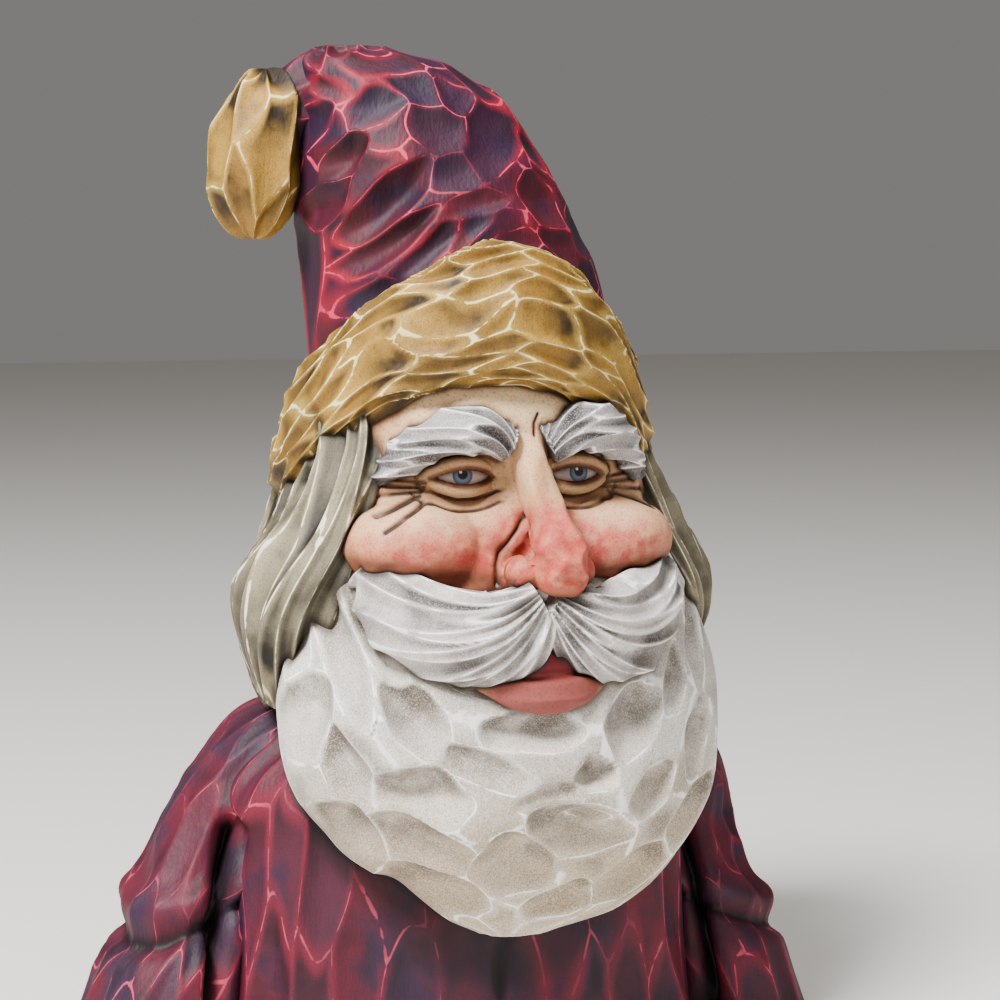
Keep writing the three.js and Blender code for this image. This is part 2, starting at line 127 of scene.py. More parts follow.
def limb(path, wide, deep, power=2.3):
    """A limb or lock along a path, with its half sizes across and to the front."""
    columns = list(zip(*path))

    def spine(t):
        return np.stack([along(column, t) for column in columns], axis=-1)

    def place(t, angle, swell=1):
        step = 0.01
        ahead = spine(np.minimum(t + step, 1)) - spine(np.maximum(t - step, 0))
        ahead /= np.linalg.norm(ahead, axis=-1, keepdims=True)
        front = np.array([0, -1, 0]) + ahead * ahead[..., 1:2]
        front /= np.linalg.norm(front, axis=-1, keepdims=True)
        across = np.cross(front, ahead)
        c, s = oval(angle, power)
        reach = (swell * along(wide, t) * c)[..., None], (swell * along(deep, t) * s)[..., None]
        return spine(t) + across * reach[0] + front * reach[1]

    return place


def egg(centre, radii, tilt=0.0):
    """An egg as a standing mass whose half sizes follow a circle, turned by tilt in degrees."""
    lean = sin(radians(tilt))

    def place(t, angle, swell=1):
        up = -np.cos(pi * t)
        girth_here = swell * np.sin(pi * np.clip(t, 0.002, 0.998))
        c, s = oval(angle, 2)
        x = centre[0] + radii[0] * girth_here * c + lean * up * radii[2]
        y = centre[1] + radii[1] * girth_here * s
        return np.stack([x, y, centre[2] + radii[2] * up + 0 * c], axis=-1)

    return place


print("the first three marks of the hand", hand(range(3)).round(2))

# %% [markdown]
# A gouge leaves a hollow shaped like a shallow spoon. Where two hollows meet there is a sharp ridge, and that
# net of ridges is what makes wood look carved. So a stroke is a small bowl, and at each place the deepest
# bowl wins. The second deepest is kept too: where the two are equal there is a ridge, and the paint will
# need to know it. Neighbouring strokes belong to different families, so that the paint can also tell on which
# side of a ridge it is, and then it finds the ridge itself even between two corners of the mesh.

# %% Gouge strokes
def unmarked(count):
    """What is known about each place of a mass before anything is cut in it."""
    return {key: np.zeros(count) for key in ("cut", "second", "tone", "line", "family", "upper")}


def lay_stain_and_shade(marks, stain):
    """Lays dark stain, and at some places painted shade, on the mass; where two meet, the darker one stays.
    """
    marks["line"] = np.maximum(marks["line"], stain)


UNEASY = 0.14  # how far a stroke's outline strays, as a share, so that no two are alike


def gouge(marks, u, v, strokes, around=None, shown=1, steep=0):
    """Cuts strokes of centre u and v, half length, half width, heading, depth, tone and family."""
    for cu, cv, long, wide, heading, depth, tone, family in strokes:
        du, dv = u - cu, v - cv
        if around:
            du = du - around * np.round(du / around)
        a = (du * cos(heading) + dv * sin(heading)) / long
        b = (dv * cos(heading) - du * sin(heading)) / wide
        rise = np.clip(dv / np.hypot(long * sin(heading), wide * cos(heading)), -1, 1)
        round_it = np.arctan2(b, a)
        uneven = 1 + UNEASY * (np.sin(3 * round_it + 7 * tone) + 0.7 * np.sin(5 * round_it + 17 * tone))
        bowl = depth * (1 - (a * a + b * b) * uneven) * (1 + steep * rise) * shown
        deeper = bowl > marks["cut"]
        marks["second"] = np.where(deeper, marks["cut"], np.maximum(marks["second"], bowl))
        marks["tone"] = np.where(deeper, tone, marks["tone"])
        marks["family"] = np.where(deeper, family, marks["family"])
        marks["upper"] = np.where(deeper, rise, marks["upper"])
        marks["cut"] = np.maximum(marks["cut"], bowl)


def lattice(around, rows, seed, long, wide, depth, heading=lambda u, v: 0, wander=0.5, ring=False):
    """Staggered rows of strokes, none quite like the next, counted in cells round and up."""
    strokes = []
    for row in range(-1, rows + 1):
        kept = row % rows if ring else row
        for k in range(around):
            n = seed + max(40, around) * (kept + 1) + k
            u = k + 0.5 + 0.5 * (row % 2) + 0.5 * (hand(n) - 0.5)
            v = row + 0.5 + 0.6 * (hand(n + 500) - 0.5)
            size = 0.84 + 0.42 * hand(n + 900)
            turn = heading(u, v) + wander * (hand(n + 1300) - 0.5)
            bite = depth * (0.7 + 0.6 * hand(n + 1700))
            family = row % 2 + 2 * (k % 2)
            strokes.append((u, v, long * size, wide * size, turn, bite, hand(n + 2100), family))
    return strokes


def chosen(rows):
    """Strokes given one by one; each gets a family that no stroke near it has."""
    strokes = []
    for i, (x, z, long, wide, turn, depth) in enumerate(rows):
        near = {s[7] for s in strokes if np.hypot(x - s[0], z - s[1]) < 0.8 * (long + s[2])}
        family = min({4, 5, 6, 7} - near, default=4)
        strokes.append((x, z, long, wide, radians(turn), depth, hand(i), family))
    return strokes


def groove(marks, x, z, points, width, depth, stain=1.0):
    """A veiner's line through points, with dark stain in it."""
    points = np.array(points, float)
    near = np.full(len(x), 1e9)
    for (x0, z0), (x1, z1) in zip(points[:-1], points[1:]):
        ex, ez = x1 - x0, z1 - z0
        t = np.clip(((x - x0) * ex + (z - z0) * ez) / (ex * ex + ez * ez), 0, 1)
        near = np.minimum(near, np.hypot(x - x0 - t * ex, z - z0 - t * ez))
    lay_stain_and_shade(marks, stain * (1.5 - near / width))
    return depth * np.exp(-((near / width) ** 2))


# %% [markdown]
# Each mass starts as a flat grid. It is rolled into a tube, its seam and its two pinched ends are welded,
# and every place is then cut back by the strokes. A tube like that has no need of a texture: its mesh is as
# fine as the marks on it.

# %% Roll and carve a mass
WELD = 1e-5  # metres; nearer corners become one
BLUNT = 0.4  # a ridge is worn over this depth, because the mesh can't show a sharper one
made = []


def coordinates(piece):
    """The places of a mesh's corners, one to a row."""
    flat = np.empty(len(piece.data.vertices) * 3)
    piece.data.vertices.foreach_get("co", flat)
    return flat.reshape(-1, 3)


def keep(piece, places, marks):
    """Puts the places in the mesh, in metres, and what the paint needs in its attributes."""
    piece.data.vertices.foreach_set("co", (places * UNIT + HEAD).ravel())
    below = marks["cut"] - marks["second"]  # how far a place lies under the ridge next to it
    below = np.where(marks["cut"] > 0.02, below / max(np.percentile(below, 90), 1e-9), 0.5)
    shown = {f"edge_{bit}": below * (1 - 2 * (marks["family"].astype(int) >> bit & 1)) for bit in range(3)}
    shown["tone"] = 0.5 + (marks["tone"] - 0.5) * np.clip(below / 0.3, 0, 1)
    shown["line"] = marks["line"]
    # The hollows get stain, and more of it under a hollow's upper rim, where it is painted shade.
    under_rim = np.clip(1.2 * marks["upper"] + 0.2, 0, 1)
    shown["shade"] = np.clip(below / 0.5, 0, 1) * (0.25 + 0.75 * under_rim)
    shown.update({key: marks[key] for key in marks if key not in unmarked(0) and key not in shown})
    for key, values in shown.items():
        attribute = piece.data.attributes.get(key) or piece.data.attributes.new(key, "FLOAT", "POINT")
        attribute.data.foreach_set("value", values.astype(np.float32))
    piece.data.update()


def edit_all_of(piece):
    """Opens the mesh of one piece for editing, with all of it selected."""
    bpy.ops.object.select_all(action="DESELECT")
    piece.select_set(True)
    bpy.context.view_layer.objects.active = piece
    bpy.ops.object.mode_set(mode="EDIT")
    bpy.ops.mesh.select_all(action="SELECT")


def weld(piece):
    """Closes the seam and the ends, and turns every face outward."""
    edit_all_of(piece)
    bpy.ops.mesh.remove_doubles(threshold=WELD)
    bpy.ops.mesh.normals_make_consistent(inside=False)
    bpy.ops.object.mode_set(mode="OBJECT")
    bpy.ops.object.shade_smooth()


def rolled(name, place, columns, rows, carve=None, front=0.0, ends=0.02, ring=False):
    """Rolls a grid into a tube. A ring closes on itself end to end, and anything else is pinched there."""
    extra = 0 if ring else 2
    bpy.ops.object.select_all(action="DESELECT")
    bpy.ops.mesh.primitive_grid_add(x_subdivisions=columns, y_subdivisions=rows + extra, size=1)
    piece = bpy.context.object
    piece.name = piece.data.name = name
    flat = coordinates(piece)
    share = flat[:, 0] + 0.5
    row = (flat[:, 1] + 0.5) * (rows + extra) - extra / 2
    swell = np.where((row < -0.5) | (row > rows + 0.5), 0.0, 1.0)
    t = np.clip(row / rows, 0, 1)
    angle = 2 * pi * share - front * np.cos(2 * pi * share)  # more of the columns at the front
    base = place(t, angle, swell)
    step = 2e-3
    ahead, behind = (t + step, t - step) if ring else (np.minimum(t + step, 1), np.maximum(t - step, 0))
    round_it = place(t, angle + step) - place(t, angle - step)
    along_it = place(ahead, angle) - place(behind, angle)
    normal = np.cross(round_it, along_it)
    normal /= np.maximum(np.linalg.norm(normal, axis=-1, keepdims=True), 1e-12)
    if np.sum(normal * (place(t, angle) - place(t, angle, 0))) < 0:
        normal = -normal
    marks = unmarked(len(base))
    push = carve(marks, base, angle / (2 * pi), t) if carve else 0
    worn = np.maximum(BLUNT - (marks["cut"] - marks["second"]), 0) ** 2 / (4 * BLUNT)
    lift = np.percentile(marks["cut"], 15)  # the ridges stay on the profile
    fade = 1 if ring else swell * np.minimum(1, np.minimum(t, 1 - t) / ends)
    keep(piece, base - normal * ((marks["cut"] + worn - lift) * fade + push)[:, None], marks)
    weld(piece)
    made.append(piece)
    print(name, len(piece.data.polygons), "faces")
    return piece


def joined(name, pieces):
    """Joins masses cut from the same wood with the same paint into one piece."""
    bpy.ops.object.select_all(action="DESELECT")
    for piece in pieces:
        piece.select_set(True)
        made.remove(piece)
    bpy.context.view_layer.objects.active = pieces[0]
    bpy.ops.object.join()
    pieces[0].name = pieces[0].data.name = name
    made.append(pieces[0])
    return pieces[0]


def sawn(piece, place=(0, 0, cad_low.z), facing=(0, 0, 1), keeps_front=True):
    """A saw cut across a closed piece: what lies on one side of it goes, and the cut is closed."""
    edit_all_of(piece)
    sides = {"clear_inner": keeps_front, "clear_outer": not keeps_front}
    bpy.ops.mesh.bisect(plane_co=place, plane_no=facing, use_fill=True, **sides)
    bpy.ops.object.mode_set(mode="OBJECT")
    return piece


# %% [markdown]
# The coat is one chest and two sleeves. The carver ran the wide gouge down the cloth, so the hollows are
# longer than wide. The line where the two fronts meet is a deep veiner's cut.

# %% Coat
def arm_recess(marks, x, z):
    """The deep cut at the front between each sleeve and the chest."""
    right = groove(marks, x, z, [(-37.2, 34), (-38.9, 25), (-40.3, 13), (-41.4, -6)], 1.5, 5)
    left = groove(marks, x, z, [(33, 38), (33.9, 22), (34.6, 7), (35, -6)], 1.2, 4)
    return np.maximum(right, left)


def coat_marks(marks, base, u, t):
    around, rows = 26, 4
    down = lattice(around, rows, 19, 1.0, 0.74, 1.2 * GOUGE_DEPTH, lambda u, v: pi / 2, 0.6)
    gouge(marks, u * around, t * rows, down, around)
    x, y, z = base.T
    seam = groove(marks, x, z, [(0.6, 24), (0.14, 19.4), (-3.3, -5.4)], 0.8, 1.5)
    # Painted shadow of the beard on the coat, in a band just under the beard's lower edge.
    beard_edge = 17 + 0.03 * x * x
    lay_stain_and_shade(marks, 0.62 * np.exp(-(((z - beard_edge) / 8) ** 4)) * (np.abs(x) < 30) * (y < 0))
    return np.where(y < 0, np.maximum(seam, arm_recess(marks, x, z)), 0)


chest, girth = COAT_WIDTH / 2, COAT_DEPTH / 2
coat_profile = [
    (-5, -1.6, 3, chest * 1.06, girth * 1.06),
    (9, -1.6, 3, chest, girth * 1.02),
    (22, -1.6, 3, chest * 0.97, girth),
    (33, -1.6, 2.5, chest * 0.95, girth * 0.95),
    (41, -1.2, 2, chest * 0.91, girth * 0.87),
    (47, 0, 2, chest * 0.75, girth * 0.77),
    (52, 0, 2, chest * 0.6, girth * 0.68),
    (59, 0, 2, chest * 0.36, girth * 0.5),
]
body = rolled("coat_body", standing(coat_profile, 2.7), 350, 120, coat_marks, 0.3)


def sleeve(side):
    rows = [(0.41, 0.8, 4, 49), (0.61, 0.8, 5, 44), (0.725, 1, 5, 36.5), (0.79, -0.8, 4, 27.5),
            (0.87, -1.8, 2, 17.5), (0.95, -2.3, 0, 8.5), (1.04, -2.8, -1, -5)]
    path = [(side * ELBOW_REACH * share + aside, y, z) for share, aside, y, z in rows]
    wide = np.array([0.3, 0.74, 0.96, 1.01, 1.02, 1.1, 1.18]) * SLEEVE / 2
    deep = np.array([0.5, 0.95, 1.1, 1.2, 1.35, 1.5, 1.6]) * SLEEVE / 2

    def marks_of(marks, base, u, t):
        cuts = lattice(14, 5, 61 + side, 0.95, 0.7, 1.1 * GOUGE_DEPTH, lambda u, v: 1.45, 0.8)
        gouge(marks, u * 14, t * 5, cuts, 14)
        x, y, z = base.T
        fold = z + 0.3 * side * (x - side * 50) - (19 if side == RIGHT else 14)
        crease = 1.7 * np.exp(-((fold / 1.5) ** 2)) - 1.3 * np.exp(-(((fold - 3.2) / 2.4) ** 2))
        marks["line"] = np.exp(-((fold / 1.3) ** 2)) * 0.8
        recess = np.where(y < 2, arm_recess(marks, x, z), 0)
        return crease + recess

    return rolled("sleeve", limb(path, wide, deep), 140, 110, marks_of)


coat = joined("coat", [sawn(body), sawn(sleeve(RIGHT)), sawn(sleeve(LEFT))])

# %% [markdown]
# The beard is the showpiece of the wide gouge. Its strokes run in arcs round the mouth, so each one's heading
# is turned square to the line from the mouth.

# %% Beard
# The strokes that show most, each with its middle aside and up, half length, half width, heading, depth.
BEARD_STROKES = [
    (-17.8, 52.2, 6.8, 4, -62, 2.6), (-2.1, 50.6, 8.8, 3.5, -3, 2.6), (13.4, 50.7, 7.2, 5, 50, 2.6),
    (6.8, 44.2, 3.9, 2.7, 0, 2.8), (16, 41, 5.6, 3.4, 52, 2.6), (-18, 42, 8.4, 4.6, -10, 3),
    (4.6, 36, 9.4, 4.8, -8, 3), (6.4, 37.2, 5.6, 2.2, -12, 3.6), (-3.8, 31, 7.6, 5.6, -14, 3.2),
    (-16.6, 34.4, 10, 4, -32, 2.8), (-12.4, 27, 10, 3.4, -28, 2.7), (14.6, 28.6, 9, 3.6, 26, 2.6),
    (-30.4, 52, 8.4, 3, 84, 2.2), (-26.2, 44.4, 9, 3, -68, 2.4), (-26.4, 62, 12, 3, -80, 2.2),
    (-21.4, 62, 9, 2.4, -72, 1.9), (-31, 64, 9, 2.6, 88, 2), (25, 46.8, 8, 3.2, 74, 2.4),
    (27, 60, 9, 2.8, 82, 2.2), (-24.4, 35.6, 8, 2.8, -52, 2.5), (23.4, 36, 8, 3, 56, 2.5),
    (3.8, 25, 7, 3.4, 16, 2.4), (-8.6, 45.6, 9, 3, -22, 1.7), (21, 55, 7, 2.6, 72, 2),
    (0, 41.6, 6, 2.6, 8, 1.3), (-10, 57, 6, 2, -30, 1.2),
]


def beard_marks(marks, base, u, t):
    around, rows = 14, 5

    def round_the_mouth(cu, cv):
        return np.arctan2(cv - 4.1, cu - FRONT_TURN * around) + pi / 2

    x, y, z = base.T
    shallow = 0.45 + 0.55 * np.clip((y + 17) / 8, 0, 1)  # the listed strokes take the lead at the front
    cuts = lattice(around, rows, 3, 0.95, 0.64, 1.4 * GOUGE_DEPTH, round_the_mouth)
    gouge(marks, u * around, t * rows, cuts, around, shallow)
    gouge(marks, x, z, chosen(BEARD_STROKES), shown=1.2 * np.clip(-(y + 8) / 8, 0, 1), steep=0.55)
    return 0


beard_profile = [
    (20, -0.15 * BEARD_SWEPT, -23, BEARD * 0.12, 3),
    (22.4, 0.7 * BEARD_SWEPT, -21.4, BEARD * 0.38, 7.4),
    (26.6, BEARD_SWEPT, -19.4, BEARD * 0.6, 12),
    (32.5, 0.5 * BEARD_SWEPT, -18, BEARD * 0.81, 16.8),
    (41, 0.1 * BEARD_SWEPT, -17, BEARD * 0.95, 20.6),
    (50, 0, -16, BEARD, 20.8),
    (58, 0, -15, BEARD * 0.99, 19),
    (66, 0, -13.5, BEARD * 0.92, 16.6),
    (73, 0, -12, BEARD * 0.83, 14),
    (80, 0, -10, BEARD * 0.72, 11),
]
beard = rolled("beard", standing(beard_profile), 380, 150, beard_marks, 0.45)

# %% [markdown]
# Hair, brows and moustache are cut with the small veiner: long narrow strokes that follow the lock.
# One function lays such strands on any limb, and only their number and length change.

# %% Hair, brows and moustache
def strands(around, rows, seed, depth, wander=0.35):
    """Carves long narrow strokes in rows, for any lock or limb."""

    def carve(marks, base, u, t):
        cuts = lattice(around, rows, seed, 0.95, 0.62, depth, lambda cu, cv: pi / 2, wander)
        gouge(marks, u * around, t * rows, cuts, around)
        return 0

    return carve


def side_lock(side):
    swept = 3 if side == RIGHT else 0  # the right one is combed further forward, over the cheek
    rows = [(0.66, -1, 95), (0.69, -2.8 - swept, 87), (0.83, -4.4 - swept, 76), (1, -4 - swept, 65),
            (0.98, -2.4, 53.5)]
    path = [(side * HAIR * out, y, z) for out, y, z in rows]
    place = limb(path, [4.6, 4.8, 5.8, 6.4, 3], [11, 13, 14, 13, 7])
    return rolled("lock", place, 170, 110, strands(14, 2, 5 + side, 2.8, 0.3), 0.2, 0.06)


hair_profile = [
    (46, 0, 8, HAIR * 0.78, 14),
    (52, 0, 7, HAIR * 1.02, 20),
    (61, 0, 6, HAIR * 1.08, 23.5),
    (73, 0, 5, HAIR * 0.98, 24),
    (86, 0, 4, HAIR * 0.8, 23),
    (91, 0, 3, HAIR * 0.68, 20),
    (96, 0, 2, HAIR * 0.5, 15),
]
hair_behind = rolled("hair_behind", standing(hair_profile), 260, 80, strands(26, 2, 41, 2.8, 0.4), -0.3)
hair = joined("hair", [hair_behind, side_lock(RIGHT), side_lock(LEFT)])


def brow(side):
    aside = 1.2 if side == LEFT else 0  # the left one starts further from the nose
    rows = [(2.2, -26.2, 89.2), (6.8, -26.4, 91.2), (12, -24.6, 90.4), (15.8, -21.8, 87.6),
            (18.8, -18.6, 84.4)]
    path = [(side * out + aside, y, z) for out, y, z in rows]
    place = limb(path, [2.6, 3.5, 3.4, 2.9, 1.3], [2.7, 3.5, 3.4, 3, 1.8], 2)

    def swept_up(marks, base, u, t):
        out, z = side * base[:, 0] - aside, base[:, 2]
        # The hairs rise from the nose, then sweep outward.
        bend = 5.4 * np.log(np.maximum(out, 0.8)) - 0.45 * out
        cuts = lattice(10, 3, 71 + side, 1.05, 0.7, 1.7, lambda a, b: pi / 2, 0.2)
        gouge(marks, (z - bend - 74) / 1.9, out / 8, cuts)
        return 0

    return rolled("brow", place, 110, 100, swept_up)


brows = joined("brows", [brow(RIGHT), brow(LEFT)])


def moustache_half(side):
    rows = [(0.4, -34.2, 66.6), (6.8, -34.8, 63.6), (13.2, -32.2, 63.8), (18.6, -28, 67), (22.2, -22.6, 71.4)]
    path = [(side * out, y, z) for out, y, z in rows]
    place = limb(path, [5, 6.6, 7.2, 5.8, 2.6], [2.8, 4, 4.2, 3.6, 2])

    def fanned(marks, base, u, t):
        out, z = side * base[:, 0] + 1.5, base[:, 2] - 71
        reach, turn = np.hypot(out, z), np.arctan2(z, out)
        turn = turn - 0.4 * (reach / 24) ** 2  # the strands curve up as they run out
        cuts = lattice(14, 2, 91 + side, 1.2, 0.68, 2.2, lambda a, b: pi / 2, 0.1)
        gouge(marks, (turn + 2) / 0.185, reach / 16, cuts)
        marks["upper"] = -marks["upper"]  # here the painted shade in the hollows lies towards the nose
        return 0

    return rolled("moustache_half", place, 150, 120, fanned)


moustache = joined("moustache", [moustache_half(RIGHT), moustache_half(LEFT)])

# %% [markdown]
# The fur band is a roll round the cap, high over the brow and low behind. The tool ran along it in short
# wavy strokes. A roll closes on itself both ways, so its strokes have to meet themselves again at the back.

# %% Fur band
def band_place(t, angle, swell=1):
    radius_x, radius_y = FACE * 0.8, 24.6
    lean, peak = radians(9), radians(8)
    a = 2 * pi * t + pi
    level = 91.6 + 11.4 * np.cos(a + peak) + 4 * np.cos(2 * a + 2 * peak)
    c, s = oval(angle, 2.6)
    out = swell * c * np.where(c > 0, BAND_THICKNESS / 2, 0.8 * BAND_THICKNESS)
    up = swell * s * BAND_HEIGHT * (1 + 0.06 * np.sin(3 * a + 1)) / 2
    away = out * cos(lean) - up * sin(lean)
    rise = up * cos(lean) + out * sin(lean)
    x, y = np.sin(a) * (radius_x + away), -np.cos(a) * (radius_y + away) + 0.5
    return np.stack([x, y, level + rise], axis=-1)


def band_marks(marks, base, u, t):
    around, rows = 18, 20
    waves = 0.35 * np.sin(5 * 2 * pi * t) + 0.2 * np.sin(9 * 2 * pi * t + 2)
    cuts = lattice(around, rows, 201, 1.0, 0.72, 1.9, lambda cu, cv: pi / 2, 0.6, True)
    gouge(marks, u * around + waves, t * rows, cuts, around)
    return 0


band = rolled("fur_band", band_place, 120, 480, band_marks, ring=True)

# %% [markdown]
# The cap is a cone that slumps to one side. Deep folds run up from its low side, and facets cover the rest.
# The tip is bent over and ends in a tassel, cut in long upright facets.

# %% Cap and tassel
cap_profile = [
    (86, 0, 1, FACE * 0.72, 21),
    (104, -0.06 * CAP_LEAN, 1, FACE * 0.79, 22),
    (115, -0.13 * CAP_LEAN, 1.5, FACE * 0.76, 21.2),
    (122, -0.25 * CAP_LEAN, 2, FACE * 0.715, 19.8),
    (128, -0.35 * CAP_LEAN, 2.5, FACE * 0.68, 18.2),
    (134, -0.47 * CAP_LEAN, 3, FACE * 0.62, 16),
    (139, -0.63 * CAP_LEAN, 3, FACE * 0.52, 13),
    (143, -0.85 * CAP_LEAN, 3, FACE * 0.37, 9),
    (145, -CAP_LEAN, 3, FACE * 0.16, 3.6),
]
# Strokes deeper than this are folds, and the others are facets. The columns are those of the beard's strokes.
FOLD = 2.4
CAP_STROKES = [
    (-16.3, 135.8, 5.2, 3.1, 35, 2.2), (-21.6, 138.6, 4, 2.2, -30, 1.7), (-23.6, 133.4, 4.6, 2, 70, 1.8),
    (-20.6, 128.6, 5.4, 2.2, 62, 3.2), (-22.6, 122.4, 6, 2.1, 66, 2.8), (-15.6, 122.6, 9.8, 3.1, 46, 4),
    (-16.4, 116.4, 9.4, 2.5, 38, 2.9), (-11.8, 115, 8.4, 1.8, 42, 2), (-17.6, 109.4, 6.8, 2.1, 30, 2),
    (-7.7, 132.3, 5.8, 4.2, -20, 1.9), (0, 131, 6.8, 4.8, 50, 2.2), (-7, 126.4, 5.8, 3.4, 20, 1.9),
    (-14.6, 142, 7, 2.6, 0, 1.6), (-10.4, 138.6, 5.2, 2.9, -25, 1.7), (-4.4, 137, 4, 2.6, -40, 1.5),
    (-4.4, 122.2, 5.8, 2.1, 15, 1.6), (7.4, 123, 5, 3.6, -45, 2.2), (9.6, 116.4, 4.8, 2.2, -35, 1.8),
    (-5.6, 118.4, 4.4, 1.9, 40, 1.5), (1.6, 116.6, 5, 2.6, 10, 1.4), (8.4, 130, 4.4, 2.6, -50, 1.6),
    (15, 118, 5, 3, -60, 1.7), (14, 126, 4, 2.6, -60, 1.6), (3, 110.4, 7, 2.8, 5, 1.2),
    (14, 110, 6, 2.8, 80, 1.4),
]


def broader(x, z, long, wide, turn, depth):
    """A facet is a fifth broader than its row says, and shallower; a fold stays as it is."""
    if depth > FOLD:
        return x, z, long, wide, turn, depth
    return x, z, 1.2 * long, 1.2 * wide, turn, 0.85 * depth


def cap_marks(marks, base, u, t):
    x, y, z = base.T
    cuts = lattice(12, 6, 7, 0.95, 0.62, GOUGE_DEPTH, lambda cu, cv: 0.9, 2.2)
    gouge(marks, u * 12, t * 6, cuts, 12, 0.6 + 0.4 * np.clip((y + 8) / 10, 0, 1))
    by_hand = [broader(*row) for row in CAP_STROKES]
    gouge(marks, x, z, chosen(by_hand), shown=np.clip(-(y - 3) / 5, 0, 1), steep=0.2)
    return 0


cap_body = rolled("cap_body", standing(cap_profile), 300, 150, cap_marks, 0.3)
tassel_centre = (-CAP_LEAN - 13, 4, 129.6)
tip_path = [(-CAP_LEAN + 3, 3, 137.6), (-CAP_LEAN - 3, 3.6, 138), (-CAP_LEAN - 8, 4, 135.6), tassel_centre]
tip = rolled("cap_tip", limb(tip_path, [6, 6.6, 6.2, 5], [6, 6.6, 6.2, 5], 2), 90, 70, strands(8, 3, 53, 1.2))
cap = joined("cap", [cap_body, tip])
tassel_form = egg(tassel_centre, (TASSEL_WIDTH / 2, TASSEL_WIDTH * 0.55, TASSEL_HEIGHT / 2), 4)


def tassel_marks(marks, base, u, t):
    strands(7, 3, 83, 2.4, 0.9)(marks, base, u, t)
    x, y, z = base.T
    # Painted shade: the tassel is darker towards its upper right, where it tucks under the cap.
    marks["line"] = np.clip((z - tassel_centre[2] - 7) / 4 + (x - tassel_centre[0] - 2) / 6, 0, 0.85)
    return 0


tassel = rolled("tassel", tassel_form, 130, 110, tassel_marks, ends=0.14)

# %% [markdown]
# The face is softer than the rest: cheeks, nose, lids and lips flow into each other, and a knife has
# smoothed them. So its masses are modelled apart, melted into one skin by a voxel remesh, and smoothed.
# Only then are the wrinkles cut and the paint laid out on it.

# %% Face masses
EYES = {side: EYES_ASIDE - 0.4 + side * EYE_OFFSET for side in (RIGHT, LEFT)}  # how far aside each one is
NOSTRILS_ASIDE = 0.75 * NOSE_ASIDE
SKIN_MESH = 0.35e-3  # metres, the side of a voxel
SKIN_BACK, SKIN_LOW = -7, 51  # where the skin ends, hidden in the hair and in the beard


def socket(marks, base, u, t):
    """The hollow of each eye, pressed into the front of the skull."""
    x, y, z = base.T
    off = np.abs(x - EYES_ASIDE) - EYE_OFFSET
    return np.where(y < 0, 4.4 * np.exp(-((off / 6.4) ** 2) - ((z - EYE_LEVEL) / 4.8) ** 2), 0)


skull_profile = [
    (44, 0, -2, FACE * 0.7, 19),
    (56, 0, -4, FACE * 0.86, 24),
    (66, 0, -4, FACE * 0.94, 25),
    (76, 0, -3, FACE * 0.95, 25),
    (86, 0, -2, FACE * 0.89, 25.4),
    (94, 0, -1, FACE * 0.81, 25.4),
    (101, 0, 0, FACE * 0.7, 23),
    (106, 0, 1, FACE * 0.5, 17),
]
parts = [rolled("skull", standing(skull_profile), 160, 100, socket)]
nose_rows = [(0.15, -24, 90), (0.45, -27.6, 84.6), (0.75, -31.6, 78.8), (1, -35.4, 74), (0.9, -34.4, 69.8)]
nose_path = [(share * NOSE_ASIDE, y, z) for share, y, z in nose_rows]
parts.append(rolled("nose", limb(nose_path, [2.8, 2.5, 3, 3.9, 3.1], [2.6, 3, 3.8, 4.6, 3.2], 2.6), 48, 50))
parts.append(rolled("mouth", egg((0, -31.6, 60), (7, 5, 3.6)), 40, 30))
lip_path = [(9.4 * s, -36 + 2.6 * s * s, 55.4 + 1.6 * s * s) for s in (-1, -0.5, 0, 0.5, 1)]
parts.append(rolled("lip", limb(lip_path, [0.7, 2.2, 2.7, 2.2, 0.7], [0.6, 1.7, 2.2, 1.7, 0.6], 2.6), 40, 50))
for side in (RIGHT, LEFT):
    parts.append(rolled("nostril", egg((NOSTRILS_ASIDE + side * 4.2, -31.8, 72), (2.4, 3.8, 2.5)), 32, 24))
    parts.append(rolled("cheek", egg((side * 13.8, -20.4, 75), (10.6, 9.4, 7)), 64, 40))
    parts.append(rolled("eye_mound", egg((EYES[side], -20.4, EYE_LEVEL), (5.6, 5.2, 4.4)), 40, 30))
face = joined("face", parts)


def applied(piece, kind, **settings):
    """Gives a piece a modifier and makes its result the mesh."""
    modifier = piece.modifiers.new(kind.lower(), kind)
    for key, value in settings.items():
        setattr(modifier, key, value)
    bpy.context.view_layer.objects.active = piece
    bpy.ops.object.modifier_apply(modifier=modifier.name)


applied(face, "REMESH", mode="VOXEL", voxel_size=SKIN_MESH)
sawn(face, (0, HEAD[1] + SKIN_BACK * UNIT, 0), (0, 1, 0), keeps_front=False)
sawn(face, (0, 0, HEAD[2] + SKIN_LOW * UNIT))
applied(face, "SMOOTH", factor=0.5, iterations=9)
print("face", len(face.data.polygons), "faces")
